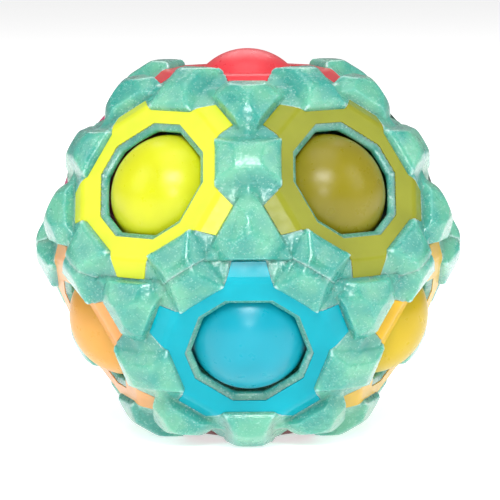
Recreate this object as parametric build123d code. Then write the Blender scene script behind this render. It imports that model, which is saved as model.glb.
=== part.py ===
from build123d import *
from itertools import combinations
import math
import os

# A twelve-hole ball puzzle. Everything is laid out on a regular dodecahedron: one colour ring and one
# ball on each face, one raised pad on each edge and one raised pyramid on each corner. One socket, at
# the bottom, has no ball, so that a neighbouring ball can be pushed across into it.
# Lengths are millimetres. The layout is worked out about the puzzle's centre, and every part is then
# lifted so that the puzzle stands on z = 0.

# Driving dimensions
FACE_DISTANCE = 32.0  # centre to the outer face of a colour ring
CORNER_DISTANCE = 34.17  # centre to the small flats that cut the dodecahedron's corners
SHOULDER_DISTANCE = 33.25  # centre to the pads' shoulders, which are parallel to the faces
CAVITY_RADIUS = 31.5

RING_THICKNESS = 1.2
RING_GAP = 0.1  # between a ring and the wall of its recess
RING_EDGE = 12.95  # centre line to the straight outer edges, beside the pads
RING_EDGE_HALF = 4.25
LUG_BASE_HALF = 4.15
LUG_BASE = 13.0
LUG_TIP = 16.85
LUG_TIP_HALF = 2.8
HOLE_AT_LUG = 10.5  # centre line to the hole's edges that face the lugs
HOLE_AT_PAD = 10.9  # centre line to the hole's edges that face the pads
POST_RADIUS = 0.8
POST_LENGTH = 0.9
POST_PLACE = 13.6
POST_GAP = 0.05

BEZEL_SCALE = 0.885  # the lip's opening, against the ring's hole
BEZEL_DROP = 0.8
SEAT_RADIUS = 9.66
SEAT_DISTANCE = 30.5  # centre to the seat cone where its radius is SEAT_RADIUS
SEAT_DEPTH = 5.0  # how far the cone carries on inwards from there
SEAT_TIP_RADIUS = 0.5

PAD_CROWN = 37.6  # centre to the highest line of a pad
BELT_PAD_CROWN = 38.1  # the same for the ten pads that the seam runs through
PAD_CROWN_CURVE = 14.0  # radius of the crown along the edge
PAD_CROWN_HALF = 2.5
PAD_HALF_LENGTH = 4.6  # at the foot of the sloping ends
PAD_END_SLOPE = 52  # degrees
PAD_END_ROUND = 1.2
PAD_WALL = 13.25  # a face's centre line to the pad's side wall
PAD_WALL_ROUND = 1.1
PAD_FOOT = 31.5

PYRAMID_INRADIUS = 4.4
PYRAMID_FOOT = 33.0
DOME_TOP = 38.1  # the dome that rounds a pyramid's ridges
DOME_RADIUS = 7.8
FACET_APEX = 38.5  # where a pyramid's three flat facets would meet
FACET_SLOPE = 29.5  # degrees
SKIRT_APEX = 37.0  # the lower, sharper pyramid that carries the corners out to the pads
SKIRT_SLOPE = 31.0

BALL_RADIUS = 10.8
BALL_DISTANCE = 24.8
CORE_RADIUS = 13.5

PEG_RADIUS = 1.2
PEG_CIRCLE = 34.6
PEG_BELOW = 1.6
PEG_ABOVE = 2.4
PEG_GAP = 0.08
SEAM_INRADIUS = 4.55  # the column round a pyramid that stays in one half
SEAM_REACH = 8.3

# Face colours by place: name, steps down from the top face, azimuth in degrees
UPPER_FACES = [
    ("red", 0, 0),
    ("yellow", 1, -126),
    ("olive", 1, -54),
    ("dark_green", 1, 18),
    ("violet", 1, 90),
    ("pink", 1, 162),
]
LOWER_FACES = [
    ("blue", 2, -90),
    ("amber", 2, -18),
    ("green", 2, 54),
    ("navy", 2, 126),
    ("orange", 2, 198),
    ("maroon", 3, 0),
]
EMPTY_SOCKET = "maroon"

# Angles of a regular dodecahedron
NEIGHBOUR = math.degrees(math.atan(2))  # between two faces' axes
FACE_TO_EDGE = NEIGHBOUR / 2
FACE_TO_CORNER = math.degrees(math.acos(math.sqrt((5 + 2 * math.sqrt(5)) / 15)))
POLAR = [0, NEIGHBOUR, 180 - NEIGHBOUR, 180]
FIFTH = 72
FAR = 60.0  # longer than the puzzle's radius, for cutting tools
ABOVE_FACE = FACE_DISTANCE + 4  # over everything that stands on the faces near a ring
BELOW_FACE = CAVITY_RADIUS - 5
CENTRE = Vector(0, 0, SHOULDER_DISTANCE)


def axis_of(face):
    _, steps, azimuth = face
    polar, around = math.radians(POLAR[steps]), math.radians(azimuth)
    level = math.sin(polar)
    return Vector(level * math.cos(around), level * math.sin(around), math.cos(polar))


FACES = UPPER_FACES + LOWER_FACES
AXES = {face[0]: axis_of(face) for face in FACES}
UPPER = [face[0] for face in UPPER_FACES]


def adjacent(a, b):
    return abs(AXES[a].dot(AXES[b]) - math.cos(math.radians(NEIGHBOUR))) < 0.01


EDGES = [pair for pair in combinations(AXES, 2) if adjacent(*pair)]
CORNERS = [trio for trio in combinations(AXES, 3) if all(adjacent(*p) for p in combinations(trio, 2))]


def corner_axis(trio):
    return (AXES[trio[0]] + AXES[trio[1]] + AXES[trio[2]]).normalized()


def face_plane(name):
    """The face's own frame: z out along its axis, x towards one of its lugs."""
    near = next(trio for trio in CORNERS if name in trio)
    return Plane(origin=(0, 0, 0), x_dir=flattened(corner_axis(near), AXES[name]), z_dir=AXES[name])


def edge_plane(pair):
    """The edge's own frame: z out through its middle, x across it from one face to the other."""
    a, b = AXES[pair[0]], AXES[pair[1]]
    return Plane(origin=(0, 0, 0), x_dir=(a - b), z_dir=(a + b))


def corner_plane(trio):
    """The corner's own frame: z out through it, x along one of its three edges."""
    axis = corner_axis(trio)
    edge = AXES[trio[0]] + AXES[trio[1]]
    return Plane(origin=(0, 0, 0), x_dir=flattened(edge, axis), z_dir=axis)


def flattened(direction, axis):
    return (direction - axis * direction.dot(axis)).normalized()


def turned(direction, degrees):
    return direction.rotate(Axis.Z, degrees)


def below(solid, normal, distance):
    """What is left of a solid on the centre's side of a plane."""
    return split(solid, bisect_by=Plane(origin=normal * distance, z_dir=normal), keep=Keep.BOTTOM)


def prism(points, low, high):
    return Pos(0, 0, low) * extrude(make_face(Polyline(*points, close=True)), high - low)


def decagon(at_lug, at_pad):
    """Outline whose edges face lugs and pads in turn, at two distances from the centre line."""
    half = math.radians(FIFTH / 2)
    corners = []
    for k in range(5):
        for side in (-1, 1):
            lug = math.radians(k * FIFTH)
            along = side * (at_pad - at_lug * math.cos(half)) / math.sin(half)
            x = at_lug * math.cos(lug) - along * math.sin(lug)
            y = at_lug * math.sin(lug) + along * math.cos(lug)
            corners.append((x, y))
    return corners


def star(grow):
    """A colour ring's outer outline, grown all round by a small gap."""
    lug = [
        (LUG_BASE, -LUG_BASE_HALF - grow),
        (LUG_TIP + grow, -LUG_TIP_HALF - grow),
        (LUG_TIP + grow, LUG_TIP_HALF + grow),
        (LUG_BASE, LUG_BASE_HALF + grow),
    ]
    pad = Vector(RING_EDGE + grow, 0, 0)
    corners = []
    for k in range(5):
        corners += [turned(Vector(*point, 0), k * FIFTH) for point in lug]
        for side in (-1, 1):
            corners.append(turned(pad + Vector(0, side * RING_EDGE_HALF, 0), (k + 0.5) * FIFTH))
    return corners


def cap(face_distance, corner_distance):
    """The space under a face's plane and under the flats at its five corners."""
    solid = below(Box(FAR, FAR, 2 * FAR), Vector(0, 0, 1), face_distance)
    tilt = math.radians(FACE_TO_CORNER)
    for k in range(5):
        flat = turned(Vector(math.sin(tilt), 0, math.cos(tilt)), k * FIFTH)
        solid = below(solid, flat, corner_distance)
    return solid


def ring_floor():
    return cap(FACE_DISTANCE - RING_THICKNESS, CORNER_DISTANCE - RING_THICKNESS)


def posts(radius, length):
    """Five short pins on the underside of a ring, one behind each lug."""
    top = FACE_DISTANCE - RING_THICKNESS / 2
    low = FACE_DISTANCE - RING_THICKNESS - length
    pin = Pos(POST_PLACE, 0, (top + low) / 2) * Cylinder(radius, top - low)
    return [Rot(0, 0, k * FIFTH) * pin for k in range(5)]


def ring():
    outer = prism(star(0), BELOW_FACE, ABOVE_FACE)
    hole = prism(decagon(HOLE_AT_LUG, HOLE_AT_PAD), 0, FAR)
    flat = (outer & cap(FACE_DISTANCE, CORNER_DISTANCE)) - ring_floor() - hole
    return flat + posts(POST_RADIUS, POST_LENGTH)


def ring_recess():
    outer = prism(star(RING_GAP), BELOW_FACE, ABOVE_FACE)
    boss = prism(decagon(HOLE_AT_LUG - RING_GAP, HOLE_AT_PAD - RING_GAP), 0, FAR)
    holes = posts(POST_RADIUS + POST_GAP, POST_LENGTH + POST_GAP)
    return (outer - ring_floor() - boss) + holes


def socket():
    """The opening in a face: a decagonal hole with a sloped bezel, over a conical seat for the ball."""
    inner = decagon(HOLE_AT_LUG * BEZEL_SCALE, HOLE_AT_PAD * BEZEL_SCALE)
    outer = decagon(HOLE_AT_LUG - RING_GAP, HOLE_AT_PAD - RING_GAP)
    low = Plane.XY.offset(FACE_DISTANCE - BEZEL_DROP)
    high = Plane.XY.offset(FACE_DISTANCE)
    bezel = loft([low * make_face(Polyline(*inner, close=True)), high * make_face(Polyline(*outer, close=True))])
    hole = prism(inner, BELOW_FACE, ABOVE_FACE)
    slope = math.tan(math.radians(FACE_TO_EDGE))
    rise = (SEAT_RADIUS - SEAT_TIP_RADIUS) * slope
    cone = Cone(SEAT_RADIUS + SEAT_DEPTH / slope, SEAT_TIP_RADIUS, SEAT_DEPTH + rise)
    seat = Pos(0, 0, SEAT_DISTANCE + (rise - SEAT_DEPTH) / 2) * cone
    return bezel, hole, seat


def roof():
    """A pad's section across the edge: upright walls, and a shoulder parallel to each face."""
    tilt = math.radians(FACE_TO_EDGE)

    def across(depth, radial):
        x = depth * math.sin(tilt) - radial * math.cos(tilt)
        return x, depth * math.cos(tilt) + radial * math.sin(tilt)

    side = [across(SHOULDER_DISTANCE, PAD_WALL), across(PAD_FOOT, PAD_WALL)]
    ridge = (0, SHOULDER_DISTANCE / math.cos(tilt))
    outline = make_face(Polyline(ridge, *side, *[(-x, z) for x, z in reversed(side)], close=True))
    walls = [v for v in outline.vertices() if abs(v.Y - side[0][1]) < 0.01]
    return extrude(Plane.XZ * fillet(walls, PAD_WALL_ROUND), PAD_HALF_LENGTH + 1, both=True)


def arch(crown):
    """A pad's section along the edge: a gently curved crown, and ends that slope down to the flats."""
    sag = PAD_CROWN_CURVE - math.sqrt(PAD_CROWN_CURVE**2 - PAD_CROWN_HALF**2)
    end = (PAD_CROWN_HALF, crown - sag)
    fall = (PAD_HALF_LENGTH - PAD_CROWN_HALF) * math.tan(math.radians(PAD_END_SLOPE))
    side = [end, (PAD_HALF_LENGTH, crown - sag - fall), (PAD_HALF_LENGTH, PAD_FOOT)]
    mirrored = [(-x, z) for x, z in side]
    top = ThreePointArc(mirrored[0], (0, crown), end)
    outline = make_face(top + Polyline(*side, *reversed(mirrored)))
    ends = [v for v in outline.vertices() if abs(v.Y - end[1]) < 0.01]
    return extrude(Plane.YZ * fillet(ends, PAD_END_ROUND), PAD_WALL, both=True)


def pad(crown):
    return roof() & arch(crown)


def triangle(inradius):
    return [turned(Vector(2 * inradius, 0, 0), k * 120) for k in range(3)]


def three_facets(solid, apex, degrees):
    """What is left of a solid under three planes that slope down from an apex."""
    slope = math.radians(degrees)
    for k in range(3):
        normal = turned(Vector(-math.sin(slope), 0, math.cos(slope)), k * 120)
        solid = below(solid, normal, apex * math.cos(slope))
    return solid


def pyramid():
    """The soft three-sided pyramid over a corner: a faceted dome on a low, sharp-cornered skirt."""
    column = prism(triangle(PYRAMID_INRADIUS), PYRAMID_FOOT, FACET_APEX + 1)
    dome = column & Pos(0, 0, DOME_TOP - DOME_RADIUS) * Sphere(DOME_RADIUS)
    return three_facets(dome, FACET_APEX, FACET_SLOPE) + three_facets(column, SKIRT_APEX, SKIRT_SLOPE)


def at_faces(solid):
    return [face_plane(name).location * solid for name in AXES]


def dodecahedron():
    """The faces' planes and the flats at the corners, before pads and pyramids are added."""
    solid = Box(2 * FAR, 2 * FAR, 2 * FAR)
    for axis in AXES.values():
        solid = below(solid, axis, FACE_DISTANCE)
    for trio in CORNERS:
        solid = below(solid, corner_axis(trio), CORNER_DISTANCE)
    return solid


def shell():
    plain, belted, one_pyramid = pad(PAD_CROWN), pad(BELT_PAD_CROWN), pyramid()
    raised = [edge_plane(p).location * (belted if p in belt() else plain) for p in EDGES]
    raised += [corner_plane(trio).location * one_pyramid for trio in CORNERS]
    solid = dodecahedron() + raised
    bezel, hole, seat = socket()
    solid -= [Sphere(CAVITY_RADIUS)] + at_faces(seat)
    solid -= at_faces(hole)
    solid -= at_faces(bezel)
    return solid - at_faces(ring_recess())


def polygon(points):
    return Face(Wire.make_polygon(points, close=True))


def ends_of(pair):
    return [corner_axis(trio) * FAR for trio in CORNERS if set(pair) <= set(trio)]


def belt():
    """The edges that the seam follows: those between an upper and a lower face."""
    return [pair for pair in EDGES if (pair[0] in UPPER) != (pair[1] in UPPER)]


def round_the_face(name):
    around = face_plane(name)
    corners = [corner_axis(trio) * FAR for trio in CORNERS if name in trio]
    return sorted(corners, key=lambda p: math.atan2(p.dot(around.y_dir), p.dot(around.x_dir)))


def upper_side():
    """The space that the upper half fills. The seam zigzags round the middle, through the pads, and
    goes round each pyramid, so that no pyramid is split."""
    sides = [polygon(round_the_face(name)) for name in UPPER]
    sides += [polygon([Vector(0, 0, 0)] + ends_of(pair)) for pair in belt()]
    space = Solid(Shell(sides))
    half = (2 * SEAM_INRADIUS - SEAM_REACH) * math.tan(math.radians(30))
    outline = []
    for k in range(3):
        outline += [turned(Vector(SEAM_REACH, side * half, 0), k * 120) for side in (-1, 1)]
    column = prism(outline, BELOW_FACE, FAR)
    for trio in CORNERS:
        above = sum(name in UPPER for name in trio)
        if above == 2:
            space += corner_plane(trio).location * column
        if above == 1:
            space -= corner_plane(trio).location * column
    return space


def pegs(radius, low, high):
    """Locating pegs along the seam, upright, where it crosses the middle of each pad."""
    peg = Pos(0, 0, (low + high) / 2) * Cylinder(radius, high - low)
    middles = [(AXES[a] + AXES[b]).normalized() * PEG_CIRCLE for a, b in belt()]
    return [Pos(*middle) * peg for middle in middles]


def shell_halves():
    whole, space = shell(), upper_side()
    upper = (whole & space) - pegs(PEG_RADIUS + PEG_GAP, -PEG_BELOW - PEG_GAP, PEG_ABOVE + PEG_GAP)
    lower = (whole - space) + pegs(PEG_RADIUS, -PEG_BELOW, PEG_ABOVE)
    return {"shell_upper": upper, "shell_lower": lower}


def parts():
    nodes = shell_halves()
    one_ring, ball = ring(), Sphere(BALL_RADIUS)
    for name, axis in AXES.items():
        nodes["ring_" + name] = face_plane(name).location * one_ring
        if name != EMPTY_SOCKET:
            nodes["ball_" + name] = Pos(*(axis * BALL_DISTANCE)) * ball
    nodes["core_ball"] = Sphere(CORE_RADIUS)
    return nodes


os.makedirs("parts", exist_ok=True)
for node, solid in parts().items():
    export_step(Pos(*CENTRE) * solid, "parts/" + node + ".step")
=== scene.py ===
import itertools
import math

import bmesh
import bpy
import numpy as np
from mathutils import Matrix, Vector
from mathutils.bvhtree import BVHTree


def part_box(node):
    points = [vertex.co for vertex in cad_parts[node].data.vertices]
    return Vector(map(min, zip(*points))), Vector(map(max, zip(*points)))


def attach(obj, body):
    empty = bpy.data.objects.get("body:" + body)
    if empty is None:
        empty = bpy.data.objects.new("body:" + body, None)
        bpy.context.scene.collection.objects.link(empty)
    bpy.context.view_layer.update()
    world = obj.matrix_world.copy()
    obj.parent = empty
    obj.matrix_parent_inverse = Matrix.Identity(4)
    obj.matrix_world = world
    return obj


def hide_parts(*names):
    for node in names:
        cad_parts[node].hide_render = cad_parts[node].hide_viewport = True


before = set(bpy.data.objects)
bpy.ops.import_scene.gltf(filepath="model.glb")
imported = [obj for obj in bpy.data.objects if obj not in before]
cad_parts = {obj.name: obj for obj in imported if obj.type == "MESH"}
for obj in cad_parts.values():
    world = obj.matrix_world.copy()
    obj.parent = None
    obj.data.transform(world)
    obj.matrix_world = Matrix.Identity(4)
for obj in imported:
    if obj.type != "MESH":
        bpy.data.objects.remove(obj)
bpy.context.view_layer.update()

MM = 0.001

# The puzzle's layout, as in the CAD model
FACE_DISTANCE = 32.0 * MM
NEIGHBOUR = math.atan(2)
# Each socket's colour, its row from the top (as in POLAR), and its azimuth in degrees
COLOURS = {
    "red": (0, 0),
    "yellow": (1, -126),
    "olive": (1, -54),
    "dark_green": (1, 18),
    "violet": (1, 90),
    "pink": (1, 162),
    "blue": (2, -90),
    "amber": (2, -18),
    "green": (2, 54),
    "navy": (2, 126),
    "orange": (2, 198),
    "maroon": (3, 0),
}
POLAR = [0, NEIGHBOUR, math.pi - NEIGHBOUR, math.pi]
low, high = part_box("core_ball")
CENTRE = (low + high) / 2

# Looks. Colours are sRGB, 0 to 255
SHELL_THICK = (64, 170, 156)
# Painted shade: thin walls where the dark hollow shows through, and the shell's inner corners
SHELL_PAINTED_SHADE = (64, 154, 128)
SHELL_PALE = (124, 202, 168)
# Painted highlight on the shell's convex edges; also the tint of the pale glitter flakes, which stand
# partly for a painted glint
SHELL_PAINTED_HIGHLIGHT = (196, 240, 230)
FLAKE = 0.23  # mm
FOAM_CELL = 0.9  # mm
FOAM_DARK = (198, 196, 186)
FOAM_LIGHT = (232, 231, 224)

# The shell's moulding
VOXEL = 0.21 * MM
SHELL_FACES = 180000  # triangles in each half, about
EDGE_SOFTENING = (0.5, 3)  # how far each smoothing round moves a vertex, and how many rounds
PAD_ROUNDING = (0.8, 40)
OUTSIDE = 33.0 * MM  # nothing inside the shell is farther out than this
ABOVE_FLATS = 34.8 * MM  # a pad's own surface is farther out than this
ON_PAD = 0.982  # cosine of the angle from a pad's middle to its ends
SHARE_A_PAD = 1.2  # radians: the axes of two sockets with a pad between them are closer than this
SEAM_STEP = 0.25 * MM
SEAM_REACH = 1.0 * MM
SEAM_LAP = 0.25 * MM
LAP_REACH = 0.4 * MM  # the lower half's vertices this near the upper half are on the seam
THICKEST = 12.0  # mm, the thickest wall that is measured
PAST_SURFACE = 0.05 * MM  # the measuring starts this far inside the wall

# The rings' moulding
RING_FIT = 0.15 * MM  # takes up the gap to the shell
SIDE_WALL = 0.5  # a ring's side walls face its axis by less than this, as a cosine
FLAT_CORNER = 0.1  # walls closer in direction than this don't pull a vertex two ways
RING_TOP = 0.3  # a ring's top and its lugs face the ring's axis by more than this, as a cosine
FOLDS = (8, 60)  # degrees between the ring's top and a lug, at least and at most
SHARP_EDGE = 40  # degrees
FOLD_ROUND = 0.8 * MM
EDGE_ROUND = 0.07 * MM

# The balls' moulding
MOULD_LINE = 0.012  # half the line's width, as a share of the radius
MOULD_LINE_RISE = 0.03 * MM
BALL_CUTS = 40
CORE_CUTS = 24

# The camera, which looks at the puzzle's centre. Degrees, millimetres, and shares of FACE_DISTANCE
CAMERA_AZIMUTH = -0.13
CAMERA_ELEVATION = 7.4
CAMERA_ROLL = 0.32
CAMERA_DISTANCE = 18.562
CAMERA_ASIDE = 0.0095
CAMERA_BELOW = 0.0207
LENS = 238.4
SENSOR = 36

# The studio
SURROUND_LIGHT = 0.28
FLOOR_RADIUS = 4.0  # m
FLOOR_GREY = (0.8, 0.8, 0.8, 1)
FLOOR_GLOW = 0.62

RING_TINT = {
    "red": (232, 62, 72),
    "yellow": (222, 230, 56),
    "olive": (150, 154, 46),
    "dark_green": (20, 78, 62),
    "violet": (136, 90, 182),
    "pink": (200, 70, 118),
    "blue": (0, 174, 192),
    "amber": (232, 184, 48),
    "green": (80, 168, 84),
    "navy": (42, 80, 176),
    "orange": (242, 172, 104),
    "maroon": (108, 34, 34),
}
BALL_TINT = dict(
    RING_TINT,
    yellow=(216, 220, 26),
    olive=(142, 131, 18),
    blue=(0, 164, 186),
    amber=(216, 184, 8),
    orange=(238, 172, 74),
)


def axis_of(colour):
    steps, azimuth = COLOURS[colour]
    polar, around = POLAR[steps], math.radians(azimuth)
    level = math.sin(polar)
    return Vector((level * math.cos(around), level * math.sin(around), math.cos(polar)))


def linear(colour):
    def channel(v):
        v /= 255
        return v / 12.92 if v <= 0.04045 else ((v + 0.055) / 1.055) ** 2.4

    return tuple(channel(v) for v in colour)


def in_scene(name, mesh):
    piece = bpy.data.objects.new(name, mesh)
    bpy.context.scene.collection.objects.link(piece)
    return piece


def applied(piece):
    """Replaces a piece's mesh with what its modifiers make of it."""
    graph = bpy.context.evaluated_depsgraph_get()
    mesh = bpy.data.meshes.new_from_object(piece.evaluated_get(graph))
    piece.modifiers.clear()
    piece.data = mesh
    return piece


# Materials


class Nodes:
    """A short way to write a material's nodes."""

    def __init__(self, name):
        self.material = bpy.data.materials.new(name)
        self.material.use_nodes = True
        self.tree = self.material.node_tree
        self.tree.nodes.clear()
        self.out = self.tree.nodes.new("ShaderNodeOutputMaterial")
        self.shader = self.add("ShaderNodeBsdfPrincipled")
        self.link(self.shader.outputs[0], self.out.inputs["Surface"])

    def add(self, kind, settings=None, **inputs):
        node = self.tree.nodes.new(kind)
        for key, value in (settings or {}).items():
            setattr(node, key, value)
        for key, value in inputs.items():
            self.put(node, key.replace("_", " "), value)
        return node

    def put(self, node, key, value):
        socket = node.inputs[key]
        if isinstance(value, bpy.types.NodeSocket):
            self.link(value, socket)
        else:
            socket.default_value = value

    def link(self, a, b):
        self.tree.links.new(a, b)

    def set(self, **inputs):
        for key, value in inputs.items():
            self.put(self.shader, key.replace("_", " "), value)

    def coordinates(self):
        return self.add("ShaderNodeTexCoord").outputs["Object"]

    def noise(self, per_mm, detail):
        node = self.add("ShaderNodeTexNoise", Vector=self.coordinates(), Scale=per_mm / MM)
        node.inputs["Detail"].default_value = detail
        return node.outputs["Fac"]

    def spread(self, value, low, high, to_low=0.0, to_high=1.0):
        node = self.add("ShaderNodeMapRange", Value=value)
        node.inputs["From Min"].default_value = low
        node.inputs["From Max"].default_value = high
        node.inputs["To Min"].default_value = to_low
        node.inputs["To Max"].default_value = to_high
        return node.outputs["Result"]

    def mix(self, share, a, b):
        node = self.add("ShaderNodeMix", {"data_type": "RGBA"})
        self.put(node, 0, share)
        for socket, value in ((6, a), (7, b)):
            if isinstance(value, tuple):
                value = (*value, 1.0)
            self.put(node, socket, value)
        return node.outputs[2]

    def bump(self, height, depth_mm, strength=1.0):
        node = self.add("ShaderNodeBump", Height=height, Distance=depth_mm * MM, Strength=strength)
        return node.outputs["Normal"]

    def vector(self, operation, a, b=None):
        node = self.add("ShaderNodeVectorMath", {"operation": operation})
        self.put(node, 0, a)
        if b is not None:
            self.put(node, "Scale" if operation == "SCALE" else 1, b)
        return node.outputs[0]


def shell_material():
    """Milky translucent plastic full of fine glitter, with a painted highlight on its convex edges and
    painted shade on thin walls and in inner corners.
    """
    n = Nodes("translucent_glitter_shell")
    wall = n.add("ShaderNodeAttribute", {"attribute_name": "wall"}).outputs["Fac"]
    edge = n.add("ShaderNodeAttribute", {"attribute_name": "edge"}).outputs["Fac"]
    # Paler clouds in the plastic, a painted highlight on convex rims, and painted shade on thin walls,
    # where the dark hollow behind shows through, and in inner corners
    cloud = n.spread(n.noise(0.16, 5.0), 0.4, 0.62, 0.0, 0.8)
    tint = n.mix(cloud, linear(SHELL_THICK), linear(SHELL_PALE))
    tint = n.mix(n.spread(edge, 0.6, 1.8, 0.0, 0.8), tint, linear(SHELL_PAINTED_HIGHLIGHT))
    tint = n.mix(n.spread(wall, 0.6, 4.0), linear(SHELL_PAINTED_SHADE), tint)
    tint = n.mix(n.spread(edge, -0.2, -1.2, 0.0, 0.5), tint, linear(SHELL_PAINTED_SHADE))
    # Each cell is a flake: about a third lie askew in the clear coat, and a few are painted pale,
    # glitter specks that stand partly for a painted glint
    flakes = n.add("ShaderNodeTexVoronoi", Vector=n.coordinates(), Scale=1 / (FLAKE * MM))
    chance = n.add("ShaderNodeSeparateColor", Color=flakes.outputs["Color"]).outputs[0]
    tint = n.mix(n.spread(chance, 0.84, 1.0, 0.0, 0.45), tint, linear(SHELL_PAINTED_HIGHLIGHT))
    lean = n.vector("SUBTRACT", flakes.outputs["Color"], (0.5, 0.5, 0.5))
    lean = n.vector("SCALE", lean, n.spread(chance, 0.5, 0.65, 0.04, 0.4))
    fine = n.bump(n.noise(0.7, 4.0), 0.09, 0.6)
    n.set(
        Base_Color=tint,
        Roughness=n.spread(n.noise(0.3, 3.0), 0.3, 0.7, 0.22, 0.34),
        Normal=fine,
        Subsurface_Weight=0.8,
        Subsurface_Radius=(0.6, 1.0, 0.92),
        Subsurface_Scale=4.0 * MM,
        Transmission_Weight=0.15,
        IOR=1.45,
        Coat_Weight=0.75,
        Coat_Roughness=0.09,
        Coat_Normal=n.vector("NORMALIZE", n.vector("ADD", fine, lean)),
    )
    return n.material


def ring_material(colour):
    n = Nodes("ring_plastic_" + colour)
    base = linear(RING_TINT[colour])
    deep = tuple(v * 0.82 for v in base)
    cloud = n.noise(0.12, 3.0)
    n.set(
        Base_Color=n.mix(n.spread(cloud, 0.3, 0.7), deep, base),
        Roughness=n.spread(n.noise(0.8, 4.0), 0.3, 0.7, 0.16, 0.26),
        Normal=n.bump(n.noise(1.6, 3.0), 0.02, 0.5),
        Specular_IOR_Level=0.22,
        Subsurface_Weight=0.15,
        Subsurface_Radius=(1.0, 0.8, 0.6),
        Subsurface_Scale=1.0 * MM,
    )
    return n.material


def ball_material(colour):
    n = Nodes("soft_ball_" + colour)
    base = linear(BALL_TINT[colour])
    deep = tuple(v * 0.86 for v in base)
    cloud = n.noise(0.1, 2.0)
    grain = n.noise(3.0, 2.0)
    n.set(
        Base_Color=n.mix(n.spread(cloud, 0.3, 0.7), deep, base),
        Roughness=n.spread(n.noise(0.6, 4.0), 0.3, 0.7, 0.26, 0.36),
        Specular_IOR_Level=0.45,
        Normal=n.bump(grain, 0.02, 0.5),
        Subsurface_Weight=0.2,
        Subsurface_Radius=(1.0, 0.8, 0.6),
        Subsurface_Scale=1.5 * MM,
    )
    return n.material


def foam_material():
    n = Nodes("core_foam")
    cells = n.add("ShaderNodeTexVoronoi", Vector=n.coordinates(), Scale=1 / (FOAM_CELL * MM))
    distance = cells.outputs["Distance"]
    tint = n.mix(n.spread(distance, 0.1, 0.6), linear(FOAM_DARK), linear(FOAM_LIGHT))
    n.set(Base_Color=tint, Roughness=0.9, Normal=n.bump(distance, 0.3, 0.8), Subsurface_Weight=0.2)
    n.set(Subsurface_Scale=1.0 * MM)
    return n.material


# The shell


class Surface:
    """A mesh as arrays, to work out values for its vertices."""

    def __init__(self, mesh):
        self.mesh = mesh
        self.places = self.read(mesh.vertices, "co")
        self.normals = self.read(mesh.vertices, "normal")
        ends = np.zeros(2 * len(mesh.edges), int)
        mesh.edges.foreach_get("vertices", ends)
        self.a, self.b = ends[::2], ends[1::2]

    @staticmethod
    def read(items, name):
        values = np.zeros(3 * len(items))
        items.foreach_get(name, values)
        return values.reshape(-1, 3)

    def averaged(self, on_edges):
        """The mean of the values of each vertex's edges."""
        total = np.bincount(self.a, on_edges[0], len(self.places))
        total += np.bincount(self.b, on_edges[1], len(self.places))
        count = np.bincount(self.a, minlength=len(total)) + np.bincount(self.b, minlength=len(total))
        return total / np.maximum(count, 1)

    def smoothed(self, values, rounds):
        for _ in range(rounds):
            values = 0.4 * values + 0.6 * self.averaged((values[self.b], values[self.a]))
        return values

    def wall(self):
        """How thick the wall is behind each vertex, in millimetres."""
        tree = BVHTree.FromPolygons(self.places.tolist(), [p.vertices[:] for p in self.mesh.polygons])
        inward = -self.normals
        wall = np.full(len(self.places), THICKEST)
        starts = (self.places + inward * PAST_SURFACE).tolist()
        for i, (start, direction) in enumerate(zip(starts, inward.tolist())):
            hit = tree.ray_cast(start, direction, THICKEST * MM)
            if hit[0]:
                wall[i] = hit[3] / MM
        return self.smoothed(wall, 8)

    def edge(self):
        """How sharply the surface bends outwards at each vertex, one over millimetres."""
        run = (self.places[self.b] - self.places[self.a]) / MM
        turn = self.normals[self.b] - self.normals[self.a]
        bend = (turn * run).sum(1) / np.maximum((run * run).sum(1), 0.0001)
        return self.smoothed(self.averaged((bend, bend)), 2)

    def store(self, name, values):
        self.mesh.attributes.new(name, "FLOAT", "POINT").data.foreach_set("value", values)


def pad_pairs():
    """The colours on the two sides of each pad, the upper one first."""
    pairs = itertools.combinations(COLOURS, 2)
    return [(a, b) for a, b in pairs if axis_of(a).angle(axis_of(b)) < SHARE_A_PAD]


def pad_middles(pairs):
    return np.array([(axis_of(a) + axis_of(b)).normalized() for a, b in pairs])


def from_seam(place):
    """How far each place is from the seam, where it runs through a pad."""
    belt = [(a, b) for a, b in pad_pairs() if COLOURS[a][0] < 2 <= COLOURS[b][0]]
    normals = np.array([(axis_of(a) - axis_of(b)).normalized() for a, b in belt])
    middles = pad_middles(belt)
    nearest = (place @ middles.T).argmax(1)
    on_pad = (place * middles[nearest]).sum(1) > ON_PAD * np.linalg.norm(place, axis=1)
    return np.where(on_pad, np.abs((place * normals[nearest]).sum(1)), np.inf)


def set_back(surface):
    """Draws the lower half's pads in a little next to the seam, so that the upper half overhangs."""
    place = surface.places - np.array(CENTRE)
    outside = np.linalg.norm(place, axis=1) > OUTSIDE
    by = SEAM_STEP * np.exp(-((from_seam(place) / SEAM_REACH) ** 2)) * outside
    surface.places -= surface.normals * by[:, None]


def lap(surface, above):
    """Closes the seam: the lower half's rounded edge goes a little way into the upper half."""
    tree = BVHTree.FromPolygons([v.co for v in above.vertices], [p.vertices[:] for p in above.polygons])
    for i, place in enumerate(surface.places.tolist()):
        near = tree.find_nearest(place, LAP_REACH)
        if near[0]:
            surface.places[i] -= np.array(near[1]) * SEAM_LAP


def pad_vertices(mesh):
    """The vertices on the pads, apart from those next to the seam."""
    place = Surface.read(mesh.vertices, "co") - np.array(CENTRE)
    distance = np.linalg.norm(place, axis=1)
    on_pad = (place @ pad_middles(pad_pairs()).T).max(1) > ON_PAD * distance
    return np.flatnonzero(on_pad & (distance > ABOVE_FLATS) & (from_seam(place) > SEAM_REACH))


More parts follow.
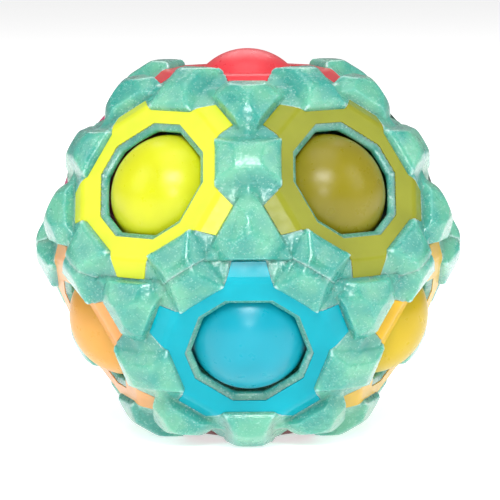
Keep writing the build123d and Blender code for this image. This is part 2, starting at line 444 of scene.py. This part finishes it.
def make_shell(node, material):
    """A shell half with moulded, softly rounded edges."""
    piece = in_scene(node + "_moulding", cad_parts[node].data.copy())
    even = piece.modifiers.new("even", "REMESH")
    even.mode = "VOXEL"
    even.voxel_size = VOXEL
    soft = piece.modifiers.new("soft", "SMOOTH")
    soft.factor, soft.iterations = EDGE_SOFTENING
    applied(piece)
    pads = piece.vertex_groups.new(name="pads")
    pads.add(pad_vertices(piece.data).tolist(), 1.0, "REPLACE")
    rounder = piece.modifiers.new("rounder", "SMOOTH")
    rounder.factor, rounder.iterations = PAD_ROUNDING
    rounder.vertex_group = pads.name
    lean = piece.modifiers.new("lean", "DECIMATE")
    lean.ratio = min(1.0, SHELL_FACES / (2 * len(piece.data.polygons)))
    applied(piece)
    surface = Surface(piece.data)
    if node == "shell_lower":
        lap(surface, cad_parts["shell_upper"].data)
        set_back(surface)
        piece.data.vertices.foreach_set("co", surface.places.ravel())
    surface.store("wall", surface.wall())
    surface.store("edge", surface.edge())
    for polygon in piece.data.polygons:
        polygon.use_smooth = True
    piece.data.materials.clear()
    piece.data.materials.append(material)
    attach(piece, "body")
    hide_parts(node)


# Rings and balls


def widen(mesh, axis, by):
    """Moves a flat piece's side walls outwards, and its hole's walls inwards."""
    moves = []
    for vertex in mesh.verts:
        normals = np.array([face.normal for face in vertex.link_faces])
        sides = np.abs(normals @ np.array(axis)) < SIDE_WALL
        moves.append(np.linalg.lstsq(normals, sides * by, rcond=FLAT_CORNER)[0])
    for vertex, move in zip(mesh.verts, moves):
        vertex.co += Vector(move)


def is_fold(edge, axis):
    """True on an edge where the top of a ring folds down into a lug."""
    tops = [face for face in edge.link_faces if face.normal.dot(axis) > RING_TOP]
    shallow, steep = FOLDS
    return len(tops) == 2 and shallow < math.degrees(edge.calc_face_angle(0.0)) < steep


def make_ring(colour):
    node = "ring_" + colour
    piece = in_scene(node + "_moulding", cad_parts[node].data.copy())
    mesh = bmesh.new()
    mesh.from_mesh(piece.data)
    bmesh.ops.remove_doubles(mesh, verts=mesh.verts, dist=0.001 * MM)
    bmesh.ops.dissolve_limit(mesh, angle_limit=math.radians(1), verts=mesh.verts, edges=mesh.edges)
    mesh.normal_update()
    widen(mesh, axis_of(colour), RING_FIT)
    folds = [edge for edge in mesh.edges if is_fold(edge, axis_of(colour))]
    bmesh.ops.bevel(mesh, geom=folds, offset=FOLD_ROUND, segments=4, profile=0.5, affect="EDGES")
    mesh.to_mesh(piece.data)
    mesh.free()
    bevel = piece.modifiers.new("round", "BEVEL")
    bevel.width = EDGE_ROUND
    bevel.segments = 3
    bevel.limit_method = "ANGLE"
    bevel.angle_limit = math.radians(SHARP_EDGE)
    weighted = piece.modifiers.new("weighted", "WEIGHTED_NORMAL")
    weighted.keep_sharp = True
    for polygon in piece.data.polygons:
        polygon.use_smooth = True
    applied(piece)
    piece.data.materials.clear()
    piece.data.materials.append(ring_material(colour))
    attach(piece, "body")
    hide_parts(node)


def round_cube(cuts, shape):
    """A cube cut into squares and pushed out to a round shape: shape(direction) gives each point."""
    mesh = bmesh.new()
    bmesh.ops.create_cube(mesh, size=2)
    bmesh.ops.subdivide_edges(mesh, edges=mesh.edges[:], cuts=cuts, use_grid_fill=True)
    for vertex in mesh.verts:
        x, y, z = (math.tan(c * math.pi / 4) for c in vertex.co)
        vertex.co = shape(Vector((x, y, z)).normalized())
    for face in mesh.faces:
        face.smooth = True
    data = bpy.data.meshes.new("round")
    mesh.to_mesh(data)
    mesh.free()
    return data


def make_ball(colour):
    node = "ball_" + colour
    low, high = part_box(node)
    centre, radius = (low + high) / 2, (high.z - low.z) / 2
    turn = axis_of(colour).to_track_quat("Y", "Z").to_matrix()

    def shape(direction):
        line = math.exp(-((direction.z / MOULD_LINE) ** 2))
        return turn @ (direction * (radius - MOULD_LINE_RISE * (1 - line))) + centre

    piece = in_scene(node + "_moulding", round_cube(BALL_CUTS, shape))
    piece.data.materials.append(ball_material(colour))
    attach(piece, node)
    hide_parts(node)


def make_core():
    low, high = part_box("core_ball")
    radius = (high.z - low.z) / 2
    piece = in_scene("core_foam_ball", round_cube(CORE_CUTS, lambda d: d * radius + CENTRE))
    piece.data.materials.append(foam_material())
    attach(piece, "body")
    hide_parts("core_ball")


# Camera, lights and floor


def aimed(obj, place, target, roll=0.0):
    look = (target - place).to_track_quat("-Z", "Y").to_matrix()
    obj.matrix_world = Matrix.Translation(place) @ (look @ Matrix.Rotation(roll, 3, "Z")).to_4x4()


def make_camera():
    azimuth, elevation = math.radians(CAMERA_AZIMUTH), math.radians(CAMERA_ELEVATION)
    distance = CAMERA_DISTANCE * FACE_DISTANCE
    back = Vector(
        (
            math.sin(azimuth) * math.cos(elevation),
            -math.cos(azimuth) * math.cos(elevation),
            math.sin(elevation),
        )
    )
    right = Vector((math.cos(azimuth), math.sin(azimuth), 0))
    up = back.cross(right)
    aside = right * CAMERA_ASIDE * FACE_DISTANCE - up * CAMERA_BELOW * FACE_DISTANCE
    data = bpy.data.cameras.new("camera")
    data.lens = LENS
    data.sensor_width = SENSOR
    data.clip_end = 100
    camera = bpy.data.objects.new("camera", data)
    bpy.context.scene.collection.objects.link(camera)
    aimed(camera, CENTRE + back * distance + aside, CENTRE + aside, -math.radians(CAMERA_ROLL))
    bpy.context.scene.camera = camera


def soft_light(name, azimuth, elevation, distance, size, power):
    """A rectangular lamp aimed at the puzzle: degrees, metres and watts."""
    a, e = math.radians(azimuth), math.radians(elevation)
    place = Vector((math.sin(a) * math.cos(e), -math.cos(a) * math.cos(e), math.sin(e))) * distance
    data = bpy.data.lights.new(name, "AREA")
    data.shape = "RECTANGLE"
    data.size, data.size_y = size
    data.energy = power
    light = bpy.data.objects.new(name, data)
    bpy.context.scene.collection.objects.link(light)
    aimed(light, CENTRE + place, CENTRE)


def make_studio():
    soft_light("front_box", 0, 42, 0.9, (0.4, 0.28), 4.8)
    soft_light("low_front_box", 0, 15, 1.2, (0.25, 0.21), 2.2)
    soft_light("left_box", -70, 30, 0.9, (0.4, 0.6), 1.4)
    soft_light("right_box", 70, 30, 0.9, (0.4, 0.6), 1.4)
    soft_light("top_box", 0, 85, 0.9, (0.6, 0.6), 1.6)
    soft_light("back_box", 180, 45, 1.0, (0.6, 0.6), 2.0)
    world = bpy.data.worlds.new("studio")
    world.use_nodes = True
    world.node_tree.nodes["Background"].inputs["Color"].default_value = (1, 1, 1, 1)
    world.node_tree.nodes["Background"].inputs["Strength"].default_value = SURROUND_LIGHT
    bpy.context.scene.world = world


def make_floor():
    mesh = bmesh.new()
    bmesh.ops.create_circle(mesh, cap_ends=True, segments=96, radius=FLOOR_RADIUS)
    data = bpy.data.meshes.new("floor")
    mesh.to_mesh(data)
    mesh.free()
    floor = in_scene("floor", data)
    n = Nodes("pale_floor")
    n.set(Base_Color=FLOOR_GREY, Roughness=0.8, Specular_IOR_Level=0.1)
    n.set(Emission_Color=(1, 1, 1, 1), Emission_Strength=FLOOR_GLOW)
    data.materials.append(n.material)


make_camera()
make_studio()
make_floor()
glitter = shell_material()
for half in ("shell_upper", "shell_lower"):
    make_shell(half, glitter)
for tint in COLOURS:
    make_ring(tint)
    if "ball_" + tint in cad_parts:
        make_ball(tint)
make_core()
bpy.context.scene.view_settings.view_transform = "Standard"
